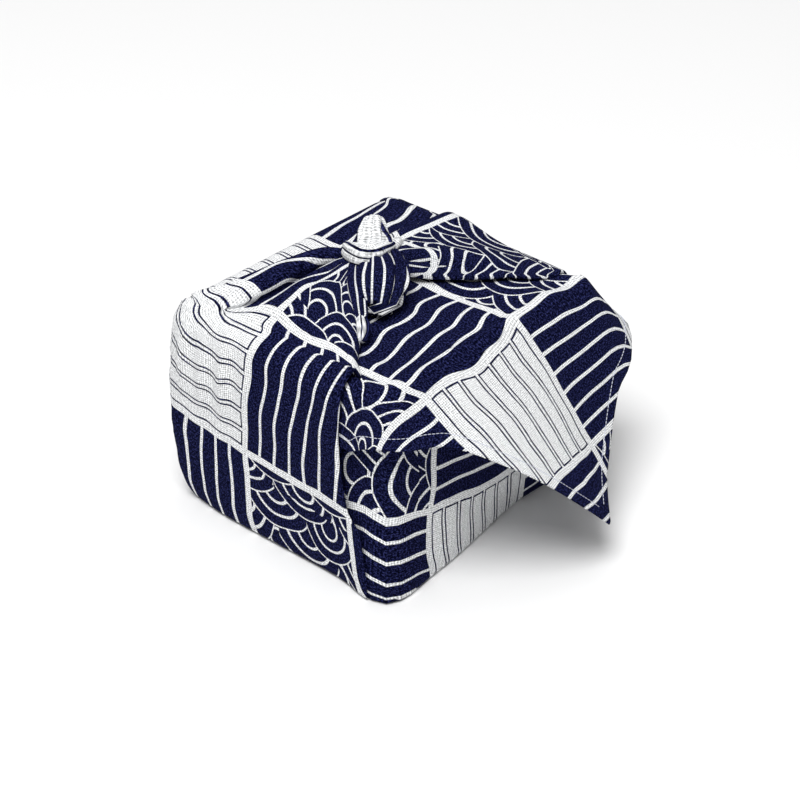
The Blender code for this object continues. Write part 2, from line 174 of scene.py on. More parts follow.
# Across a section: place on the cloth, place along the section, and how much of each level counts there.
TIE_SECTION = {
    "front": np.array((
        (0.0, 0.03, 0.3, 0.0, 0.0, 0.0),
        (0.045, 0.0, 0.7, 0.0, 0.0, 0.0),
        (0.11, 0.05, 1.0, 0.0, 0.0, 0.0),
        (0.18, 0.15, 0.9, 0.0, 0.0, 0.0),
        (0.23, 0.2, 0.5, 0.2, 0.0, 0.0),
        (0.27, 0.195, 0.0, 1.0, 0.0, 0.0),
        (0.35, 0.3, 0.0, 0.3, 0.65, 0.0),
        (0.6, 0.6, 0.0, 0.0, 1.0, 0.0),
        (0.84, 0.84, 0.0, 0.0, 0.8, 0.2),
        (0.95, 0.955, 0.0, 0.0, 0.0, 1.0),
        (1.0, 1.0, 0.0, 0.0, 0.0, 0.4),
    )),
    "back": np.array((
        (0.0, 0.01, 0.4, 0.0, 0.0, 0.0),
        (0.04, 0.015, 1.0, 0.0, 0.0, 0.0),
        (0.26, 0.275, 1.0, 0.0, 0.0, 0.0),
        (0.33, 0.355, 0.8, 0.1, 0.0, 0.0),
        (0.38, 0.375, 0.0, 0.9, 0.0, 0.0),
        (0.43, 0.41, 0.0, 1.0, 0.0, 0.0),
        (0.6, 0.61, 0.0, 0.5, 0.45, 0.0),
        (0.76, 0.81, 0.0, 0.0, 1.0, 0.0),
        (0.83, 0.89, 0.0, 0.0, 0.8, 0.0),
        (0.92, 0.955, 0.0, 0.0, 0.25, 0.5),
        (0.98, 0.985, 0.0, 0.0, 0.0, 1.0),
        (1.0, 1.0, 0.0, 0.0, 0.0, 0.8),
    )),
}
# How the print has slipped on each tie: run up from the foot, then s and t slips at four places across.
SLIP_PLACES = (0.0, 0.33, 0.67, 1.0)
SLIPS = {
    "front": np.array((
        (0.0, -0.006, -0.0063, -0.0049, -0.0051, 0.0, 0.0, 0.0, 0.0),
        (0.03, -0.0135, -0.0074, -0.0048, 0.002, -0.0115, -0.0036, -0.0013, 0.0023),
        (0.06, -0.0141, -0.0103, -0.0066, -0.0033, -0.0212, -0.0056, -0.0031, -0.0024),
        (0.085, -0.0081, -0.0103, -0.0107, -0.0059, -0.02, -0.0046, -0.0024, -0.003),
        (0.1, -0.0032, -0.0071, -0.0097, -0.009, -0.018, -0.0019, -0.0021, -0.004),
        (0.11, 0.0001, -0.0035, -0.0081, -0.0089, -0.0175, -0.0056, -0.003, -0.0056),
        (0.12, 0.0028, -0.0007, -0.0072, -0.0102, -0.0182, -0.0097, -0.0053, -0.0074),
        (0.135, 0.0042, -0.0008, -0.0096, -0.0149, -0.0205, -0.0135, -0.0096, -0.01),
        (0.155, 0.0, -0.012, -0.022, -0.0258, -0.0242, -0.0184, -0.0149, -0.0138),
        (0.168, 0.0, -0.014, -0.024, -0.028, -0.025, -0.02, -0.017, -0.015),
    )),
    "back": np.array((
        (0.0, -0.004, -0.006, -0.005, -0.0035, 0.0, 0.0, 0.0, 0.0),
        (0.09, 0.0, -0.005, -0.006, -0.0035, 0.0, 0.0, 0.0, 0.0),
        (0.115, 0.0, -0.007, -0.006, -0.0035, 0.0, 0.002, 0.001, 0.0),
        (0.142, 0.0, -0.008, -0.015, -0.019, 0.004, 0.014, 0.007, -0.001),
        (0.164, 0.0, -0.01, -0.019, -0.033, 0.008, 0.016, 0.01, 0.002),
    )),
}

# The knot's bands: x, y, height over the roof, half width across and half thickness, a row for each section.
KNOT_BANDS = {
    "upper_turn": (
        # x       y        height  width   thickness
        (-0.0222, 0.0025, 0.0090, 0.0028, 0.0026),
        (-0.0132, -0.0030, 0.0116, 0.0042, 0.0034),
        (-0.0071, -0.0046, 0.0132, 0.0050, 0.0038),
        (-0.0047, -0.0012, 0.0133, 0.0046, 0.0035),
        (-0.0057, 0.0056, 0.0122, 0.0036, 0.0030),
        (-0.0090, 0.0140, 0.0097, 0.0024, 0.0022),
    ),
    "lower_turn": (
        (-0.0092, 0.0039, 0.0085, 0.0050, 0.0040),
        (-0.0008, -0.0031, 0.0092, 0.0076, 0.0052),
        (0.0067, -0.0103, 0.0084, 0.0087, 0.0060),
        (0.0107, -0.0152, 0.0062, 0.0082, 0.0054),
        (0.0123, -0.0176, 0.0034, 0.0066, 0.0038),
        (0.0103, -0.0159, 0.0006, 0.0042, 0.0020),
    ),
    "side_turn": (
        (-0.0032, 0.0073, 0.0110, 0.0020, 0.0020),
        (0.0043, 0.0023, 0.0114, 0.0028, 0.0024),
        (0.0102, -0.0026, 0.0100, 0.0028, 0.0026),
        (0.0141, -0.0077, 0.0078, 0.0026, 0.0022),
        (0.0152, -0.0121, 0.0052, 0.0018, 0.0018),
    ),
    "front_fall": (
        (-0.0123, -0.0020, 0.0080, 0.0028, 0.0024),
        (-0.0053, -0.0112, 0.0080, 0.0035, 0.0030),
        (0.0014, -0.0186, 0.0068, 0.0033, 0.0028),
        (0.0077, -0.0244, 0.0050, 0.0027, 0.0022),
        (0.0140, -0.0301, 0.0032, 0.0022, 0.0017),
    ),
    "front_tail": (
        (0.0133, -0.0292, 0.0030, 0.0016, 0.0014),
        (0.0180, -0.0339, 0.0033, 0.0027, 0.0019),
        (0.0211, -0.0371, 0.0028, 0.0026, 0.0018),
        (0.0229, -0.0396, 0.0020, 0.0014, 0.0012),
    ),
    "back_tail": (
        (-0.0100, 0.0037, 0.0105, 0.0074, 0.0034),
        (-0.0116, 0.0058, 0.0136, 0.0064, 0.0034),
        (-0.0132, 0.0074, 0.0162, 0.0050, 0.0031),
        (-0.0150, 0.0098, 0.0184, 0.0040, 0.0026),
        (-0.0168, 0.0120, 0.0203, 0.0027, 0.0019),
    ),
    "small_loop": (
        (-0.0089, 0.0186, 0.0095, 0.0014, 0.0014),
        (-0.0066, 0.0126, 0.0115, 0.0020, 0.0018),
        (-0.0054, 0.0083, 0.0112, 0.0020, 0.0018),
        (-0.0051, 0.0068, 0.0090, 0.0014, 0.0014),
    ),
}
# Where each band lies on the flat cloth: (s, t) at its two sides, and their pace along it.
BAND_CLOTH = {
    "upper_turn": ((-0.07, -0.2646), (-0.07, -0.2555), (1.0, 0.0)),
    "lower_turn": ((-0.015, -0.233), (0.04, -0.233), (0.0, -1.0)),
    "side_turn": ((-0.025, -0.233), (-0.008, -0.233), (0.0, -1.0)),
    "front_fall": ((-0.017, -0.233), (0.013, -0.233), (0.0, -1.0)),
    "front_tail": ((-0.03, -0.258), (-0.014, -0.258), (0.0, -0.15)),
    "back_tail": ((-0.06, 0.241), (-0.06, 0.25), (0.9, 0.0)),
    "small_loop": ((-0.05, -0.259), (-0.05, -0.2565), (0.8, 0.0)),
}
BAND_GATHER = {"lower_turn": 0.55}  # how much the print draws together at a band's ends
BAND_PLEATS = {
    # pleats round the band, their height as a share of its size, phase, twist along it
    "upper_turn": (2.5, 0.12, 0.5, 0.8),
    "lower_turn": (4.5, 0.16, 0.2, 0.9),
    "side_turn": (4.0, 0.24, 0.9, 1.2),
    "front_fall": (3.0, 0.22, 0.4, 0.9),
    "front_tail": (2.0, 0.20, 0.3, 0.2),
    "back_tail": (3.5, 0.26, 1.0, 1.8),
    "small_loop": (2.0, 0.16, 0.5, 0.4),
}

# ---- the print, on the flat cloth ----
TILE = 0.063  # one tile of the print
S_LINE = -0.0205  # a grid line across s, and one across t
T_LINE = -0.0380
DARK_NAVY = (0.0003, 0.0008, 0.0085)
LIGHT_NAVY = (0.0245, 0.0285, 0.1080)
OFF_WHITE = (0.78, 0.79, 0.80)


# ---- helpers ----
def eased(x, xs, ys):
    """Values at x of an eased line through the rows (xs, ys)."""
    x, xs, ys = (np.asarray(values, float) for values in (x, xs, ys))
    pace = np.diff(ys, axis=0) / np.diff(xs).reshape((-1,) + (1,) * (ys.ndim - 1))
    product = pace[:-1] * pace[1:]
    total = pace[:-1] + pace[1:]
    inner = np.where(product > 0, 2 * product / np.where(total == 0, 1, total), 0)
    slope = np.concatenate((pace[:1], inner, pace[-1:]))
    x = np.clip(x, xs[0], xs[-1])
    k = np.clip(np.searchsorted(xs, x, side="right") - 1, 0, len(xs) - 2)
    shape = x.shape + (1,) * (ys.ndim - 1)
    span = (xs[k + 1] - xs[k]).reshape(shape)
    f = (x - xs[k]).reshape(shape) / span
    return ((1 + 2 * f) * (1 - f) ** 2 * ys[k] + f * (1 - f) ** 2 * span * slope[k]
            + f * f * (3 - 2 * f) * ys[k + 1] + f * f * (f - 1) * span * slope[k + 1])


def plan(place, reach=0.0):
    """Points of the body's outline seen from above, moved out by `reach`, and their outward directions."""
    far = np.abs(place)
    side = np.where(place < 0, -1.0, 1.0)
    turn = np.interp(far, STOPS, (0, 0, pi / 2, pi / 2, pi, pi))
    x = np.interp(far, STOPS, np.array((1, 1, 1, -1, -1, -1)) * STRAIGHT_X)
    y = np.interp(far, STOPS, np.array((0, 1, 1, 1, 1, 0)) * STRAIGHT_Y)
    normal = np.stack((np.cos(turn), side * np.sin(turn)), -1)
    return np.stack((x, side * y), -1) + normal * (CORNER + np.asarray(reach)[..., None]), normal


def corner_push(place, height):
    """How far the cloth at an upright corner stands out past the corner's round."""
    push = 0.0
    for start in (STOPS[1], STOPS[3]):
        turn = np.clip((np.abs(place) - start) / ARC, 0, 1) * pi / 2
        round_size = np.cos(turn) ** CORNER_POWER + np.sin(turn) ** CORNER_POWER
        push = push + CORNER * (round_size ** (-1 / CORNER_POWER) - 1)
    return push * eased(height, CORNER_SHARP[:, 0], CORNER_SHARP[:, 1])


def swell(place, height):
    """How far the cloth stands out past the rounded box."""
    out = sum(size * np.clip(1 - ((place - middle) / half) ** 2, 0, 1) for middle, half, size in SWELLS)
    out = out * np.sin(pi * np.clip(height / PARCEL_H, 0, 1)) + corner_push(place, height)
    for middle, reach, sizes in BELLIES:
        out = out + np.exp(-((place - middle) / reach) ** 2) * eased(height, BELLY_HEIGHTS, sizes)
    return out


def raised(flat, height):
    """Points of the plan, raised to a height."""
    return np.concatenate((flat, (flat[..., 0] * 0 + height)[..., None]), -1)


def on_wall(place, height, lift=0.0):
    """On a wall, at a height above the floor."""
    return raised(plan(place, swell(place, height) + lift)[0], height)


def over_edge(place, angle, lift=0.0, drop=0.0):
    """Over the rounded top edge: angle 0 on the roof side, pi/2 on the wall side."""
    flat, _ = plan(place, (TOP_EDGE + lift) * np.sin(angle) - TOP_EDGE)
    return raised(flat, PARCEL_H - drop - TOP_EDGE + (TOP_EDGE + lift) * np.cos(angle))


def round_foot(place, angle, lift=0.0):
    """Round the foot: angle 0 under the base, pi/2 on the wall."""
    height = FOOT_EDGE - (FOOT_EDGE + lift) * np.cos(angle)
    flat, _ = plan(place, (FOOT_EDGE + lift) * np.sin(angle) - FOOT_EDGE + swell(place, height))
    return raised(flat, height)


def run_along(line):
    """The distance from a line's first point to each of its points."""
    return np.concatenate(([0], np.cumsum(np.linalg.norm(np.diff(line, axis=0), axis=1))))


def unit(vectors):
    return vectors / np.maximum(np.linalg.norm(vectors, axis=-1, keepdims=True), 1e-12)


def normals(points):
    """Unit normals of a grid of points."""
    down, across = np.gradient(points, axis=0), np.gradient(points, axis=1)
    return unit(np.cross(across, down))


def creases(u, v, rows):
    """Soft ridges (height above 0) and troughs along short lines: u0, v0, u1, v1, half width, height."""
    total = np.zeros(np.broadcast(u, v).shape)
    for u0, v0, u1, v1, wide, high in rows:
        du, dv = u1 - u0, v1 - v0
        along = np.clip(((u - u0) * du + (v - v0) * dv) / (du * du + dv * dv), 0, 1)
        off = np.hypot(u - u0 - along * du, v - v0 - along * dv)
        total += high * np.exp(-(off / wide) ** 2) * (0.35 + 0.65 * np.sin(pi * along))
    return total


def sagged(points):
    """Every layer at the back rim sinks together, most near the +X corner."""
    x, y, height = points.T
    depth = eased(x, RIM_SAG[:, 0], RIM_SAG[:, 1])
    for value, (low, high) in ((y, RIM_SAG_Y), (height, RIM_SAG_HEIGHT)):
        share = np.clip((value - low) / (high - low), 0, 1)
        depth = depth * share * share * (3 - 2 * share)
    return points - np.stack((x * 0, x * 0, depth), -1)


def placed(name, data):
    """A new object in the scene."""
    thing = bpy.data.objects.new(name, data)
    bpy.context.scene.collection.objects.link(thing)
    return thing


SAME_POINT = 1e-7  # points as near as this are joined


class Cloth:
    """Collects grids of points and their places on the flat cloth, and makes one mesh of them."""

    def __init__(self):
        self.points, self.faces, self.flats = [], [], []
        self.count = 0

    def grid(self, points, flat, closed=False, turned=False):
        """A grid of rows; `closed` joins each row's last point to its first."""
        rows, columns = points.shape[:2]
        stored = points[:, :-1] if closed else points
        wide = stored.shape[1]
        r, c = np.meshgrid(np.arange(rows - 1), np.arange(columns - 1), indexing="ij")
        corners = ((r, c), (r, c + 1), (r + 1, c + 1), (r + 1, c))
        if turned:
            corners = corners[::-1]
        number = [self.count + a * wide + (b % wide) for a, b in corners]
        self.points.append(stored.reshape(-1, 3))
        self.faces.append(np.stack(number, -1).reshape(-1, 4))
        self.flats.append(np.stack([flat[a, b] for a, b in corners], -2).reshape(-1, 2))
        self.count += rows * wide

    def build(self, name):
        points = sagged(np.concatenate(self.points))
        faces = np.concatenate(self.faces)
        flats = np.concatenate(self.flats)
        mesh = bpy.data.meshes.new(name)
        mesh.from_pydata(points.tolist(), [], faces.tolist())
        uv = mesh.uv_layers.new(name="flat cloth")
        uv.data.foreach_set("uv", flats.astype(np.float32).ravel())
        work = bmesh.new()
        work.from_mesh(mesh)
        bmesh.ops.remove_doubles(work, verts=work.verts, dist=SAME_POINT)
        work.to_mesh(mesh)
        work.free()
        mesh.shade_smooth()
        return placed(name, mesh)


# ---- the folded sheets ----
INNER_DROP = 0.0030  # of the inner flap below the roof
FLAP_IN = 0.104  # how far the inner flap runs in under the roof
FLAP_HALF = 0.0525  # half its width
FLAP_DRAWN = 0.0012  # how far its other edges draw in
FLAP_SAG = 0.0022  # of its edges on the -Y and +Y sides
FLAP_END_SAG = 0.0018  # of its end on the -X side
BASE_SPREAD = 1.16  # flat cloth under the base, over the base's own size in x
FOOT_S = 0.065  # flat distance from the cloth's middle to the foot of the +X side
WALL_T = 0.002  # how far the print on the walls has slid sideways

# How far the print has slipped up the +X wall: place round the body, slip.
BAG_SLIP = np.array((
    (-0.231, 0.0), (-0.12, 0.006), (-0.09, 0.006), (-0.079, 0.0034), (-0.069, 0.0014),
    (-0.06, 0.0034), (-0.052, 0.005), (-0.038, 0.0099), (-0.014, 0.0138), (0.005, 0.0176),
    (0.03, 0.019), (0.062, 0.01), (0.09, 0.0), (0.231, 0.0),
))
# How far it has slipped sideways there, by height, and the place round the body where that fades out.
BAG_SIDEWAYS = np.array(((0.0, -0.0003), (0.017, 0.001), (0.033, -0.0006), (0.043, -0.0027),
                         (0.06, -0.0024), (0.09, 0.0)))
SIDEWAYS_END, SIDEWAYS_FADE = 0.068, 0.014
BAG_COLUMNS = 121
WALL_START = 0.009  # height of the lowest row on a wall, past the round of the foot


def bag(cloth):
    """Base, walls, and the flap that turns in under the roof from the +X side."""
    place = np.linspace(-HALF_ROUND, HALF_ROUND, BAG_COLUMNS)
    slip = eased(place, BAG_SLIP[:, 0], BAG_SLIP[:, 1])
    on_x_side = np.clip((SIDEWAYS_END - np.abs(place)) / SIDEWAYS_FADE, 0, 1)
    rows, flats = [], []

    def add(points, s, t):
        aside = eased(points[:, 2], BAG_SIDEWAYS[:, 0], BAG_SIDEWAYS[:, 1]) * on_x_side
        rows.append(points)
        flats.append(np.stack((s + place * 0, t + place * 0 + aside), -1))

    foot, _ = plan(place, swell(place, 0.0) - FOOT_EDGE)
    for share in (0.0, 0.2, 0.4, 0.6, 0.8, 0.93):
        flat = foot * share
        add(raised(flat, 0.0), flat[:, 0] * BASE_SPREAD, flat[:, 1])
    for angle in np.linspace(0, pi / 2, 5):
        add(round_foot(place, angle), FOOT_S + slip - FOOT_EDGE * (1 - sin(angle)), place + WALL_T)
    for height in np.linspace(WALL_START, PARCEL_H - INNER_DROP - TOP_EDGE, 26):
        add(on_wall(place, height), FOOT_S + height + slip, place + WALL_T)
    for angle in np.linspace(pi / 2, 0, 6)[1:]:
        s = FOOT_S + PARCEL_H - EDGE_FLAT * angle
        add(over_edge(place, angle, 0.0, INNER_DROP), s, place + WALL_T)
    rim, outward = plan(place, -TOP_EDGE)
    tongue = np.where(outward[:, 0] > 0.99, np.maximum(0, 1 - (rim[:, 1] / FLAP_HALF) ** 4), 0)
    for share in np.linspace(0, 1, 22)[1:]:
        flat = rim - outward * FLAP_DRAWN * share
        flat[:, 0] -= FLAP_IN * share * tongue
        drop = FLAP_SAG * share * (1 - np.abs(outward[:, 0])) + FLAP_END_SAG * share * (outward[:, 0] < 0)
        add(raised(flat, PARCEL_H - INNER_DROP - drop), FOOT_S + PARCEL_H + flat[:, 0] * 0 + share, place)
    cloth.grid(np.array(rows), np.array(flats), closed=True)


# How the print has slipped on the hanging flap: rows by y, columns by x (both measured flat), for s and t.
FLAP_X = (0.045, 0.055, 0.062, 0.076, 0.095, 0.113, 0.130)
FLAP_Y = (-0.075, -0.045, -0.012, 0.020, 0.050)
FLAP_SLIP_S = np.array((
    (0.0, -0.004, -0.006, -0.007, -0.008, -0.009, -0.009),
    (0.0, -0.0003, -0.0006, -0.0015, -0.005, -0.008, -0.009),
    (0.0, 0.0025, 0.0052, 0.003, -0.0015, -0.006, -0.007),
    (0.0, 0.002, 0.0032, 0.0024, 0.001, -0.0008, -0.0015),
    (0.0, 0.0035, 0.0055, 0.0035, 0.001, -0.0007, -0.001),
))
FLAP_SLIP_T = np.array((
    (0.0, -0.001, -0.005, -0.008, -0.012, -0.016, -0.018),
    (0.0, -0.0008, -0.0072, -0.0103, -0.016, -0.02, -0.023),
    (0.0, 0.001, -0.003, -0.0065, -0.011, -0.015, -0.018),
    (0.0, 0.0016, 0.0, -0.0029, -0.0065, -0.0108, -0.0137),
    (0.0, 0.0016, 0.0005, -0.002, -0.005, -0.009, -0.012),
))
ROOF_S = 0.202  # flat distance from the cloth's middle to the roof's
ROOF_SLIP = (0.0185, 0.0128)  # how far the roof's print has slid, in s and t
ROOF_NARROW = 0.94  # how much of the roof's y is flat cloth
ROOF_SLANT = (0.19, 0.10)  # how the print slants across the roof, before and after SLANT_Y
SLANT_Y = 0.0135
PULL = (0.005, -0.005)  # where the knot pulls the print into waves
PULL_REACH = 0.042
PULL_HEIGHT = 0.0017
PULL_WAVE = 0.026


def roof_cloth(x, y):
    """The flat cloth's (s, t) at a place on the roof, measured flat past its edges."""
    slope = np.where(y < SLANT_Y, *ROOF_SLANT)
    pulled = PULL_HEIGHT * np.exp(-(np.hypot(x - PULL[0], y - PULL[1]) / PULL_REACH) ** 2)
    wave = pulled * np.sin(2 * pi * (y - 0.35 * x) / PULL_WAVE)
    share = eased(y, FLAP_Y, np.eye(len(FLAP_Y)))
    slip_s, slip_t = ((share * eased(x, FLAP_X, slip.T)).sum(axis=-1) for slip in (FLAP_SLIP_S, FLAP_SLIP_T))
    s = -(ROOF_S + x) - ROOF_SLIP[0] + slope * (SLANT_Y - y) + wave + slip_s
    return np.stack((s, ROOF_NARROW * y + ROOF_SLIP[1] + slip_t), -1)


CREASE_DEPTH = 0.006  # how far below the roof its ridges and troughs end
ROOF_CREASES = (
    # x0, y0, x1, y1, width, height
    (0.01, -0.046, 0.048, -0.036, 0.005, 0.0009),
    (0.018, -0.03, 0.052, -0.014, 0.006, 0.001),
    (0.028, -0.01, 0.054, 0.006, 0.005, 0.0008),
    (0.004, -0.02, 0.04, 0.0, 0.004, -0.001),
    (0.02, -0.046, 0.046, -0.05, 0.004, -0.0009),
    (0.012, 0.01, 0.05, 0.026, 0.0055, 0.0008),
)
ROOF_COLUMNS = 231
FLAP_ROWS = 40
EDGE_TURN_ROWS = 6
END_ROWS = 4  # rows at either end of ROOF_EDGE, on the -X side
HUG_LEAN = radians(3.0)  # an edge that leans less than this follows the wall's swell


def edge_sizes(place):
    """Length, lean in radians and clearance of the roof's edge; its halves meet at the flap's sharp tip."""
    tip = int(np.argmax(ROOF_EDGE[END_ROWS:-END_ROWS, 1])) + END_ROWS
    before, past = (eased(place, half[:, 0], half[:, 1:]) for half in (ROOF_EDGE[:tip + 1], ROOF_EDGE[tip:]))
    sizes = np.where((place < ROOF_EDGE[tip, 0])[:, None], before, past)
    return sizes[:, 0], np.radians(sizes[:, 1]), sizes[:, 2]


def edge_line(place, down):
    """Points this far down the roof's edge past its round, and the way its outer face looks there."""
    _, lean, clear = edge_sizes(place)
    _, normal = plan(place)
    along = np.column_stack((normal * np.sin(lean)[:, None], -np.cos(lean)))
    face = np.column_stack((normal * np.cos(lean)[:, None], np.sin(lean)))
    return over_edge(place, pi / 2 - lean, clear) + along * down[:, None], face


def roof_edge(place, row):
    """A row of the roof's edge, and how far past the inner rim it lies on the flat cloth."""
    length, lean, clear = edge_sizes(place)
    turn = pi / 2 - lean
    if row <= EDGE_TURN_ROWS:
        share = row / EDGE_TURN_ROWS
        spot = over_edge(place, turn * share, clear * min(1.0, 1.5 * share))
        return spot, EDGE_FLAT * turn * share
    down = (length - TOP_EDGE * turn) * ((row - EDGE_TURN_ROWS) / FLAP_ROWS)
    spot, _ = edge_line(place, down)
    hug = np.clip(1 - lean / HUG_LEAN, 0, 1) * swell(place, spot[:, 2])
    spot[:, :2] += plan(place)[1] * hug[:, None]
    return spot, EDGE_FLAT * turn + down


def roof(cloth):
    """The roof, its edges over the walls, and the flap that hangs past +X."""
    place = np.linspace(-HALF_ROUND, HALF_ROUND, ROOF_COLUMNS)
    rim, outward = plan(place, -TOP_EDGE)
    rows, flats = [], []
    for share in np.linspace(0, 1, 22)[:-1]:
        flat = rim * share
        rows.append(raised(flat, PARCEL_H - ROOF_SAG * sin(pi * share)))
        flats.append(roof_cloth(flat[:, 0], flat[:, 1]))
    for row in range(EDGE_TURN_ROWS + FLAP_ROWS + 1):
        points, past = roof_edge(place, row)
        flat = rim + outward * past[:, None]
        rows.append(points)
        flats.append(roof_cloth(flat[:, 0], flat[:, 1]))
    points, flats = np.array(rows), np.array(flats)
    x, y, height = np.moveaxis(points, -1, 0)
    push = creases(x, y, ROOF_CREASES) * (height > PARCEL_H - CREASE_DEPTH)
    points = points + normals(points) * push[..., None]
    cloth.grid(points, flats, closed=True, turned=True)


# Soft ridges up the -Y side's tie sheet.  They fade in past the foot, and out at the rim, over RIDGE_FADE.
RIDGE_START, RIDGE_END, RIDGE_FADE = 0.012, 0.004, 0.010
WALL_CREASES = (
    # x0, height0, x1, height1, width, height
    (-0.046, 0.084, -0.0475, 0.054, 0.003, 0.0023),
    (-0.0345, 0.083, -0.0372, 0.052, 0.0032, 0.0026),
    (-0.0235, 0.084, -0.0262, 0.056, 0.0036, 0.0023),
    (-0.011, 0.085, -0.014, 0.06, 0.0046, 0.0014),
    (0.006, 0.084, 0.003, 0.05, 0.006, 0.001),
    (0.03, 0.08, 0.031, 0.04, 0.005, 0.001),
)
# The print there is pulled into waves: middle (x, height), reach in each; a crest's x, wavelength, size.
WALL_WAVE_AT = (-0.037, 0.066)
WALL_WAVE_REACH = (0.017, 0.022)
WALL_WAVE = (-0.042, 0.0145, 0.0013)
FOLD_SHARE = 0.012  # a tie's fold edge rounds over this share of its width
FOLD_RADIUS = 0.0007
TIE_COLUMNS, TIE_ROWS = 70, 84
TUCKS = {"front": (0.10, 0.50), "back": (0.26, 0.42)}  # share of a tie's width tucked under at -X and +X


def folded_columns(side):
    """Across a tie sheet: where each column stands (0 to 1), how far a fold drops it, and its flat place."""
    face = np.linspace(FOLD_SHARE, 1 - FOLD_SHARE, TIE_COLUMNS)
    turn = np.linspace(0, pi, 7)[1:-1]
    ends = []
    for tuck in TUCKS[side]:
        far = np.linspace(0, tuck, 8)
        share = np.concatenate((1 - FOLD_SHARE + FOLD_SHARE * np.sin(turn), 1 - FOLD_SHARE - far))
        drop = np.concatenate((1 - np.cos(turn), far * 0 + 2))
        flat = np.concatenate((1 - FOLD_SHARE + FOLD_SHARE * turn * 0.7, 1 + FOLD_SHARE + far))
        ends.append((share, drop, flat))
    (low_share, low_drop, low_flat), (high_share, high_drop, high_flat) = ends
    share = np.concatenate((1 - low_share[::-1], face, high_share))
    drop = np.concatenate((low_drop[::-1], face * 0, high_drop)) * FOLD_RADIUS
    flat = np.concatenate((1 - low_flat[::-1], face, high_flat))
    return share, drop, flat


TIE_PLEATS = {
    # pleats, height at the knot, phase
    "front": (5.0, 0.0014, 0.4),
    "back": (6.0, 0.0012, 1.1),
}


def tie_shape(side):
    """A tie sheet's points, its run up from the foot, the run at the rim, and the cloth's s and height."""
    mirror = 1 if side == "front" else -1
    share, drop, across = folded_columns(side)
    sheet = SIDE_SHEETS[side]
    far = -(STRAIGHT_X + ARC)
    rows, heights, spans = [], [], []

    def place(fold, wrap):
        return mirror * (far - wrap + (fold - far + wrap) * share - SIDE_MIDDLE)

    def lift_of(lift):
        return SHEET_LIFT + (lift - SHEET_LIFT) * share ** 4 - drop

    def add(points, height, fold, wrap):
        rows.append(points)
        heights.append(height)
        spans.append((fold, wrap))

    _, fold, wrap, lift = sheet[0]
    for angle, part in FOOT_ROWS:
        points = round_foot(place(fold, wrap * FOOT_WRAP), angle, lift_of(lift) * part)
        add(points, FOOT_EDGE * angle * 2 / pi, fold, wrap)
    for height, fold, wrap, lift in sheet:
        add(on_wall(place(fold, wrap), height, lift_of(lift)), height, fold, wrap)
    for angle, wrap in RIM_ROWS:
        height = PARCEL_H + EDGE_FLAT * (pi / 2 - angle) - TOP_EDGE
        add(over_edge(place(fold, wrap), angle, lift_of(lift)), height, fold, 0.0)
    on_top = len(rows)
    section = TIE_SECTION[side]
    for back_x, back_y, fold_x, fold_y, *levels in TIES[side]:
        sizes = np.column_stack((section[:, 1], section[:, 2:] @ levels))
        along, level = eased(share, section[:, 0], sizes).T
        rows.append(np.column_stack((back_x + (fold_x - back_x) * along, back_y + (fold_y - back_y) * along,
                                     PARCEL_H + level - drop)))
        spans.append((fold, 0.0))
    rows = np.array(rows)
    step = np.linalg.norm(np.diff(rows, axis=0), axis=-1)
    run = np.concatenate(([0], np.cumsum(step.mean(axis=1))))
    flat_t = np.zeros(rows.shape[:2])
    flat_t[:on_top] = np.array(heights)[:, None]
    for r in range(on_top, len(rows)):
        flat_t[r] = flat_t[r - 1] + step[r - 1]
    flat_s = np.array([far - wrap + (fold - far + wrap) * across for fold, wrap in spans])
    fine = np.linspace(0, run[-1], TIE_ROWS)
    points, s, t = (eased(fine, run, values) for values in (rows, flat_s, flat_t))
    return points, fine, run[on_top - 1], s, t, share


def tie(cloth, side):
    """One tie: the sheet up its wall, over the top edge and, gathered in pleats, to the knot."""
    mirror = 1 if side == "front" else -1
    points, fine, rim, s, t, share = tie_shape(side)
    slip = eased(fine, SLIPS[side][:, 0], SLIPS[side][:, 1:])
    s = s + eased(share, SLIP_PLACES, slip[:, :4].T).T
    t = t + eased(share, SLIP_PLACES, slip[:, 4:].T).T
    pleats, high, phase = TIE_PLEATS[side]
    grow = np.clip((fine - rim) / (fine[-1] - rim), 0, 1)[:, None] ** 1.5
    wave = np.abs(np.cos(pi * pleats * share + phase)) - 0.5
    outward = normals(points) * mirror
    points = points + outward * (grow * high * wave[None, :])[..., None]
    if side == "front":
        x, height = points[..., 0], points[..., 2]
        (wave_x, wave_height), (reach_x, reach_height) = WALL_WAVE_AT, WALL_WAVE_REACH
        crest, length, size = WALL_WAVE
        near = np.exp(-((x - wave_x) / reach_x) ** 2 - ((height - wave_height) / reach_height) ** 2)
        t = t + size * near * np.cos(2 * pi * (x - crest) / length)
        past_foot = np.clip((fine[:, None] - RIDGE_START) / RIDGE_FADE, 0, 1)
        below_rim = np.clip((rim + RIDGE_END - fine[:, None]) / RIDGE_FADE, 0, 1)
        push = past_foot * below_rim * creases(x, height, WALL_CREASES)
        points = points + outward * push[..., None]
    cloth.grid(points, np.stack((s, -mirror * (PARCEL_Y / 2 + t)), -1), turned=mirror < 0)


EAR_FOOT, EAR_TOP = 0.006, PARCEL_H - 0.010
EAR_WIDE = 0.044  # at most
EAR_SPREAD = 1.4  # how fast an ear widens with height
EAR_START = {-1: 0.050, 1: 0.034}  # |x| of the ears' fold, on the -X and the +X side
EAR_LIFT = 0.00075  # of an ear's middle off the wall
EAR_APART = 0.00025  # of its two layers from that
EAR_FLAT = (0.056, 0.0635)  # where the ears start on the flat cloth


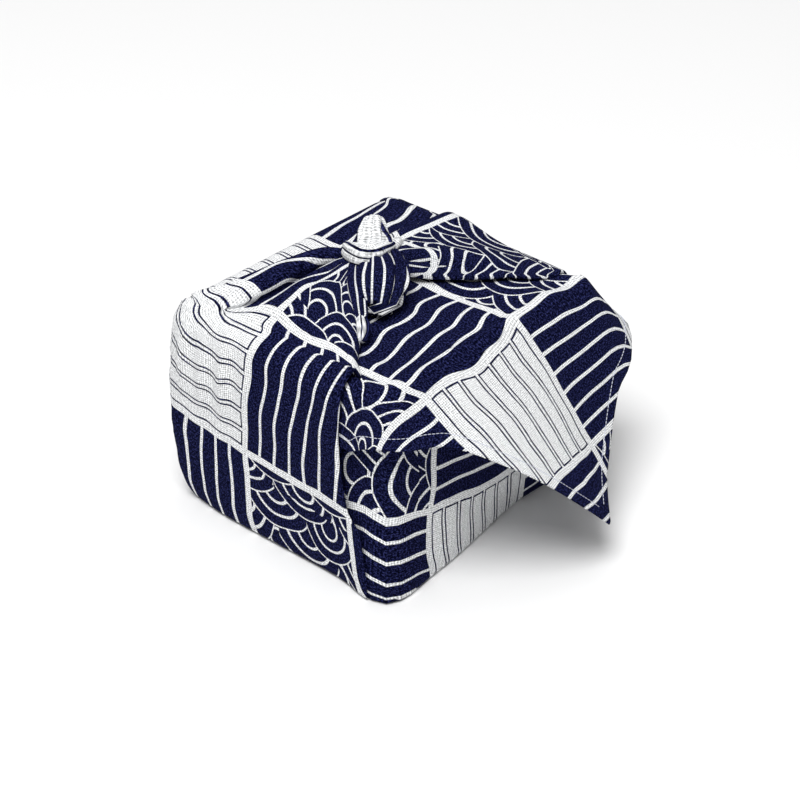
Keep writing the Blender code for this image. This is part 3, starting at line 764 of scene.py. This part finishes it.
def ears(cloth):
    """The four folded corners between the bag and the tie sheets, two layers each."""
    height = np.linspace(EAR_FOOT, EAR_TOP, 16)[:, None]
    wide = np.minimum(height * EAR_SPREAD, EAR_WIDE)
    turn = np.linspace(-1, 1, 21)[None, :]
    lift = EAR_LIFT + EAR_APART * np.sin(turn * pi / 2) + height * 0
    for corner in (-1, 1):
        for side in (-1, 1):
            x = corner * (EAR_START[corner] - wide * (1 - np.abs(turn)))
            place = side * (SIDE_MIDDLE - x)
            points = on_wall(place, height + place * 0, lift)
            s = corner * (EAR_FLAT[0] + wide * (turn + 1))
            flat = np.stack((s, side * (EAR_FLAT[1] + height) + 0 * turn), -1)
            cloth.grid(points, flat, turned=corner * side > 0)


BAND_SIDES = 44
BAND_STEPS = 28
BAND_END = 0.05  # share of a band over which its end closes


def band(cloth, name):
    """A pleated band swept through its table's rows, rounded off and closed at both ends."""
    rows = KNOT_BANDS[name]
    walk = (1 - np.cos(np.linspace(0, pi, BAND_STEPS))) / 2
    path = eased(walk * (len(rows) - 1), np.arange(len(rows)), rows)
    spot = path[:, :3]
    forward = unit(np.gradient(spot, walk, axis=0))
    across = unit(np.cross(forward, (0, 0, 1)))
    up = np.cross(across, forward)
    turn = np.linspace(0, 2 * pi, BAND_SIDES + 1)[None, :, None]
    k = walk[:, None, None]
    count, high, phase, twist = BAND_PLEATS[name]
    pleat = 1 + high * (2 * np.abs(np.cos(count * turn + phase + twist * k)) - 1.2)
    end = np.sqrt(np.clip(1 - np.clip(1 - np.minimum(k, 1 - k) / BAND_END, 0, 1) ** 2, 0, 1))
    wide, thick = path[:, 3][:, None, None] * end, path[:, 4][:, None, None] * end
    points = (spot[:, None] + across[:, None] * wide * pleat * np.cos(turn)
              + up[:, None] * thick * pleat * np.sin(turn))
    points[..., 2] += PARCEL_H
    near, far, pace = np.array(BAND_CLOTH[name])
    along = run_along(spot)[:, None, None]
    round_share = 1 - np.abs(turn / pi - 1)
    round_share = 0.5 + (round_share - 0.5) * (1 + BAND_GATHER.get(name, 0.0) * (1 - np.sin(pi * k)))
    flat = near + (far - near) * round_share + pace * along
    cloth.grid(points, flat, closed=True)


# ---- hem stitches ----
STITCH_PITCH = 0.0017
STITCH = (0.0014, 0.00032, 0.00020)  # length, width, height
STITCH_LIFT = 0.0001  # off the cloth
STITCH_ROWS = ((-0.09, 0.0095), (0.012, 0.088))  # where each row starts and ends, round the body
STITCH_RINGS = 5
STITCH_SIDES = 6
STITCH_END = 0.12  # share of a half wave that its blunt ends leave off


def hem_line(start, end):
    """The stitch row on the hanging flap's outer face, and that face's direction."""
    place = np.linspace(start, end, 600)
    length, lean, _ = edge_sizes(place)
    slope = np.gradient(length, place)
    down = length - TOP_EDGE * (pi / 2 - lean) - HEM * np.sqrt(1 + slope ** 2)
    line, face = edge_line(place, down)
    return line + face * STITCH_LIFT, face


def at_run(distance, run, line):
    """The place on a line, or its direction there, at a distance along it."""
    return np.array([np.interp(distance, run, line[:, c]) for c in range(3)])


def stitches():
    """The raised running stitch along the hanging flap's hem, as one mesh."""
    points, faces = [], []
    length, width, height = STITCH
    sides = STITCH_SIDES
    for start, end in STITCH_ROWS:
        line, face = hem_line(start, end)
        run = run_along(line)
        for at in np.arange(STITCH_PITCH, run[-1] - STITCH_PITCH, STITCH_PITCH):
            a = at_run(at - length / 2, run, line)
            b = at_run(at + length / 2, run, line)
            out = unit(at_run(at, run, face))
            side = unit(np.cross(b - a, out))
            first = len(points)
            for f in np.linspace(0, 1, STITCH_RINGS):
                full = sin(pi * (STITCH_END + (1 - 2 * STITCH_END) * f))
                for turn in np.linspace(0, 2 * pi, sides + 1)[:-1]:
                    points.append(a + (b - a) * f + side * cos(turn) * width / 2 * full
                                  + out * (sin(turn) * height * full))
            for ring in range(first, first + (STITCH_RINGS - 1) * sides, sides):
                for c in range(sides):
                    n = (c + 1) % sides
                    faces.append((ring + c, ring + n, ring + sides + n, ring + sides + c))
            faces.append(tuple(range(first + sides - 1, first - 1, -1)))
            faces.append(tuple(range(len(points) - sides, len(points))))
    mesh = bpy.data.meshes.new("hem_stitches")
    mesh.from_pydata(sagged(np.array(points)).tolist(), [], faces)
    mesh.shade_smooth()
    return placed("hem_stitches", mesh)


# ---- materials ----
class Nodes:
    """A new material, and short forms for building its nodes."""

    def __init__(self, name):
        self.material = bpy.data.materials.new(name)
        self.material.use_nodes = True
        self.nodes = self.material.node_tree.nodes
        self.shader = self.nodes["Principled BSDF"]

    def new(self, kind, **settings):
        node = self.nodes.new(kind)
        for key, value in settings.items():
            setattr(node, key, value)
        return node

    def feed(self, node, index, value):
        if isinstance(value, bpy.types.NodeSocket):
            self.material.node_tree.links.new(value, node.inputs[index])
        else:
            node.inputs[index].default_value = value

    def math(self, operation, *values, clamp=False):
        node = self.new("ShaderNodeMath", operation=operation, use_clamp=clamp)
        for k, value in enumerate(values):
            self.feed(node, k, value)
        return node.outputs[0]

    plus = partialmethod(math, "ADD")
    minus = partialmethod(math, "SUBTRACT")
    times = partialmethod(math, "MULTIPLY")
    scaled = partialmethod(math, "MULTIPLY_ADD")

    def cycle(self, value, period=2.0):
        return self.math("FLOORED_MODULO", value, period)

    def line(self, distance, half, soft=0.00012):
        """1 within `half` of a line, from the distance to it."""
        off = self.math("ABSOLUTE", distance)
        return self.scaled(off, -1 / soft, half / soft + 0.5, clamp=True)

    def vector(self, operation, one, other):
        node = self.new("ShaderNodeVectorMath", operation=operation)
        self.feed(node, 0, one)
        self.feed(node, "Scale" if operation == "SCALE" else 1, other)
        return node.outputs[0]

    def split(self, vector):
        node = self.new("ShaderNodeSeparateXYZ")
        self.feed(node, 0, vector)
        return node.outputs[0], node.outputs[1]

    def mix(self, share, low, high):
        node = self.new("ShaderNodeMix", data_type="RGBA")
        self.feed(node, 0, share)
        for k, colour in ((6, low), (7, high)):
            self.feed(node, k, colour if isinstance(colour, bpy.types.NodeSocket) else (*colour, 1.0))
        return node.outputs[2]

    def noise(self, vector, scale, detail=2.0, rough=0.5):
        node = self.new("ShaderNodeTexNoise")
        for name, value in (("Vector", vector), ("Scale", scale), ("Detail", detail), ("Roughness", rough)):
            self.feed(node, name, value)
        return node


STRIPES = 7  # spaces between a tile's stripes
STRIPE_HALF = 0.0008
BAND_HALF = 0.0016  # of the off-white band between tiles
PAIR_HALF = 0.0010  # from the middle of a pair of thin lines to either
THIN_HALF = 0.00038
FRAME_IN = 0.0021  # the thin frame's distance inside its tile
SCALE_R = 0.0170  # radius of one ringed scale
SCALE_ROW = 0.0108
RINGS = 3
RING_HALF = 0.0006
SCALE_SHIFT = (0.34, 0.22)  # how far a scale can be out of place aside and up, in radii
SWAY_SCALE = 34.0  # of the slow noise that makes the print's lines wavy
SWAY = (0.0056, -0.0040)  # its size, and what the calm part takes off
CALM_S = (-40.0, -9.6)  # slope and offset, along s and along t, of the calm part
CALM_T = (100.0, -2.2)
WEAVE_PITCH = 0.00130
# Scale, detail and roughness of the noises: hairs, thick and thin places, and pale specks in the navy.
FIBRE = (1400.0, 2.0, 0.7)
SLUB = (420.0, 2.0, 0.5)
MOTTLE = (1250.0, 2.0, 0.8)
RELIEF = (0.42, 1.03)  # shares of the weave and of the hairs
GRAIN = (0.725, 2.15, 0.935)  # middle of the relief, its effect on the tone, the tone there
SPECKS = (9.0, -4.32)


def arcs(n, u, v, tile):
    """Rows of overlapping ringed scales, each a little out of place, in a tile's own coordinates."""
    lowest = n.math("CEIL", n.math("DIVIDE", n.minus(v, SCALE_R * 1.15), SCALE_ROW))
    shown = None
    for k in (3, 2, 1, 0):
        row = n.plus(lowest, float(k))
        moved = n.minus(u, n.times(n.cycle(row), SCALE_R))
        column = n.math("FLOOR", n.math("DIVIDE", n.plus(moved, SCALE_R), 2 * SCALE_R))
        which = n.new("ShaderNodeCombineXYZ")
        for index, value in enumerate((column, row, tile)):
            n.feed(which, index, value)
        chance = n.new("ShaderNodeTexWhiteNoise", noise_dimensions="3D")
        n.feed(chance, "Vector", which.outputs[0])
        parts = n.new("ShaderNodeSeparateColor")
        n.feed(parts, 0, chance.outputs["Color"])
        aside, up, wide = (n.minus(parts.outputs[c], 0.5) for c in range(3))
        du = n.scaled(aside, SCALE_R * SCALE_SHIFT[0], n.math("WRAP", moved, SCALE_R, -SCALE_R))
        du = n.times(du, n.scaled(wide, 0.3, 0.94))
        dv = n.scaled(up, SCALE_R * SCALE_SHIFT[1], n.minus(v, n.times(row, SCALE_ROW)))
        away = n.math("SQRT", n.plus(n.times(du, du), n.times(dv, dv)))
        if shown is None:
            shown = away
            continue
        inside = n.math("LESS_THAN", away, SCALE_R)
        shown = n.plus(n.times(away, inside), n.times(shown, n.minus(1.0, inside)))
    ring = SCALE_R / RINGS
    near = n.minus(shown, n.times(n.math("ROUND", n.math("DIVIDE", shown, ring)), ring))
    return n.times(n.line(near, RING_HALF), n.math("GREATER_THAN", shown, ring / 2))


def printed_place(n, uv):
    """The flat cloth's (s, t) with the print's slow waves added."""
    s, t = n.split(uv)
    # The hanging flap's far half is pulled flat, so its print is less wavy.
    far = n.scaled(t, *CALM_T, clamp=True)
    low = n.scaled(s, *CALM_S, clamp=True)
    size = n.scaled(n.times(far, low), SWAY[1], SWAY[0])
    sway = n.vector("SUBTRACT", n.noise(uv, SWAY_SCALE, 1.0).outputs["Color"], (0.5, 0.5, 0.5))
    return n.split(n.vector("ADD", uv, n.vector("SCALE", sway, size)))


def white_print(n, uv):
    """1 where the cloth is off-white and 0 where it is navy: a checker of striped, lined and scaled tiles."""
    s, t = printed_place(n, uv)
    tile_s = n.math("DIVIDE", n.minus(s, S_LINE), TILE)
    tile_t = n.math("DIVIDE", n.minus(t, T_LINE), TILE)
    column, row = n.math("FLOOR", tile_s), n.math("FLOOR", tile_t)
    u = n.times(n.math("FRACT", tile_s), TILE)
    v = n.times(n.math("FRACT", tile_t), TILE)
    edge_u = n.math("MINIMUM", u, n.minus(TILE, u))
    edge_v = n.math("MINIMUM", v, n.minus(TILE, v))
    to_edge = n.math("MINIMUM", edge_u, edge_v)

    half_pitch = TILE / STRIPES / 2
    stripes = n.line(n.math("WRAP", u, half_pitch, -half_pitch), STRIPE_HALF)
    to_middle = n.math("ABSOLUTE", n.math("WRAP", v, half_pitch, -half_pitch))
    to_line = n.math("MINIMUM", n.minus(to_middle, PAIR_HALF), n.minus(to_edge, FRAME_IN))
    thin = n.minus(1.0, n.line(to_line, THIN_HALF))

    # Every other scaled tile is upside down.
    turned = n.math("LESS_THAN", n.math("ABSOLUTE", n.minus(n.cycle(n.plus(column, row), 4.0), 1.0)), 0.5)
    v_arcs = n.plus(n.times(v, n.scaled(turned, -2.0, 1.0)), n.times(turned, TILE))
    ringed = arcs(n, u, v_arcs, n.scaled(column, 7.0, row))

    odd_s, odd_t = n.cycle(column), n.minus(1.0, n.cycle(row))
    both = n.times(odd_s, odd_t)
    neither = n.times(n.minus(1.0, odd_s), n.minus(1.0, odd_t))
    striped = n.times(n.minus(1.0, n.plus(both, neither)), stripes)
    white = n.plus(striped, n.plus(n.times(both, thin), n.times(neither, ringed)))
    return n.math("MAXIMUM", white, n.line(to_edge, BAND_HALF))


def woven(n, uv):
    """The threads' height, 0 to 1.45; they run with the cloth's edges, at 45 degrees to the print."""
    s, t = n.split(uv)
    pace = 2 * pi / (WEAVE_PITCH * 2 ** 0.5)
    warp = n.math("SINE", n.times(n.plus(s, t), pace))
    weft = n.math("SINE", n.times(n.minus(s, t), pace))
    weave = n.scaled(n.times(warp, weft), 0.5, 0.5)
    return n.plus(n.times(weave, RELIEF[0]), n.times(n.noise(uv, *FIBRE).outputs["Fac"], RELIEF[1]))


def cotton():
    """Printed cotton: navy and off-white, with the weave's grain in its colour and its relief."""
    n = Nodes("printed cotton")
    uv = n.new("ShaderNodeUVMap", uv_map="flat cloth").outputs[0]
    relief = woven(n, uv)
    tone = n.scaled(n.minus(relief, GRAIN[0]), *GRAIN[1:])
    slub = n.minus(n.noise(uv, *SLUB).outputs["Fac"], 0.5)
    tone = n.times(tone, n.scaled(slub, 0.25, 1.0))
    specks = n.scaled(n.noise(uv, *MOTTLE).outputs["Fac"], *SPECKS, clamp=True)
    navy = n.mix(specks, DARK_NAVY, LIGHT_NAVY)
    colour = n.mix(white_print(n, uv), navy, OFF_WHITE)
    n.feed(n.shader, "Base Color", n.vector("SCALE", colour, tone))

    bump = n.new("ShaderNodeBump")
    bump.inputs["Strength"].default_value = 0.55
    bump.inputs["Distance"].default_value = 0.0002
    n.feed(bump, "Height", relief)
    n.feed(n.shader, "Normal", bump.outputs[0])
    n.shader.inputs["Roughness"].default_value = 0.92
    n.shader.inputs["Sheen Weight"].default_value = 0.0
    n.shader.inputs["Specular IOR Level"].default_value = 0.02
    return n.material


def thread():
    n = Nodes("sewing thread")
    place = n.new("ShaderNodeTexCoord").outputs["Object"]
    fuzz = n.noise(place, 2500.0, 2.0).outputs["Fac"]
    n.feed(n.shader, "Base Color", n.mix(fuzz, (0.50, 0.52, 0.64), (0.72, 0.74, 0.84)))
    n.shader.inputs["Roughness"].default_value = 0.8
    return n.material


def pale_floor():
    n = Nodes("pale floor")
    n.shader.inputs["Base Color"].default_value = (0.92, 0.92, 0.92, 1)
    n.shader.inputs["Roughness"].default_value = 0.9
    return n.material


# ---- stage ----
CAMERA_AZIMUTH = 41.2
CAMERA_HEIGHT = 31.7  # degrees above the floor
CAMERA_AWAY = 0.879
CAMERA_TARGET = (0.0, 0.0084, 0.0345)
CAMERA_LENS = 96.9
FLOOR_SIZE = 6.0
SKY = 0.30
LIGHTS_AIM = Vector((0, 0, 0.05))
LIGHTS = (
    # name  place                 size  power
    ("key", (0.54, -1.16, 2.57), 1.6, 71.0),
    ("top", (-0.20, 0.30, 3.00), 2.6, 20.0),
)


def stage():
    """Pale floor, soft light and the camera at the photograph's angle."""
    bpy.ops.mesh.primitive_plane_add(size=FLOOR_SIZE)
    floor = bpy.context.object
    floor.name = "floor"
    floor.data.materials.append(pale_floor())

    world = bpy.data.worlds.new("studio")
    bpy.context.scene.world = world
    world.use_nodes = True
    sky = world.node_tree.nodes["Background"]
    sky.inputs["Color"].default_value = (1, 1, 1, 1)
    sky.inputs["Strength"].default_value = SKY

    for name, spot, size, power in LIGHTS:
        light = bpy.data.lights.new(name, "AREA")
        light.shape = "DISK"
        light.size = size
        light.energy = power
        lamp = placed(name, light)
        lamp.location = spot
        lamp.rotation_euler = (LIGHTS_AIM - Vector(spot)).to_track_quat("-Z", "Y").to_euler()

    lens = bpy.data.cameras.new("camera")
    lens.lens = CAMERA_LENS
    lens.clip_start = 0.01
    camera = placed("camera", lens)
    azimuth, height = radians(CAMERA_AZIMUTH), radians(CAMERA_HEIGHT)
    away = Vector((sin(azimuth) * cos(height), -cos(azimuth) * cos(height), sin(height)))
    camera.location = Vector(CAMERA_TARGET) + away * CAMERA_AWAY
    camera.rotation_euler = (-away).to_track_quat("-Z", "Y").to_euler()
    bpy.context.scene.camera = camera
    bpy.context.scene.view_settings.view_transform = "Standard"


def main():
    """Builds the stage and the cloth, and tells the frame which piece is what."""
    stage()
    sheet = Cloth()
    bag(sheet)
    roof(sheet)
    ears(sheet)
    for side in ("front", "back"):
        tie(sheet, side)
    for name in KNOT_BANDS:
        band(sheet, name)
    wrap = sheet.build("furoshiki_cotton")
    wrap.data.materials.append(cotton())
    thick = wrap.modifiers.new("cotton thickness", "SOLIDIFY")
    thick.thickness = THICK
    thick.offset = -1
    thick.use_even_offset = False
    sewn = stitches()
    sewn.data.materials.append(thread())

    for piece in (wrap, sewn):
        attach(piece, "root")
    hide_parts("furoshiki_cloth")


main()
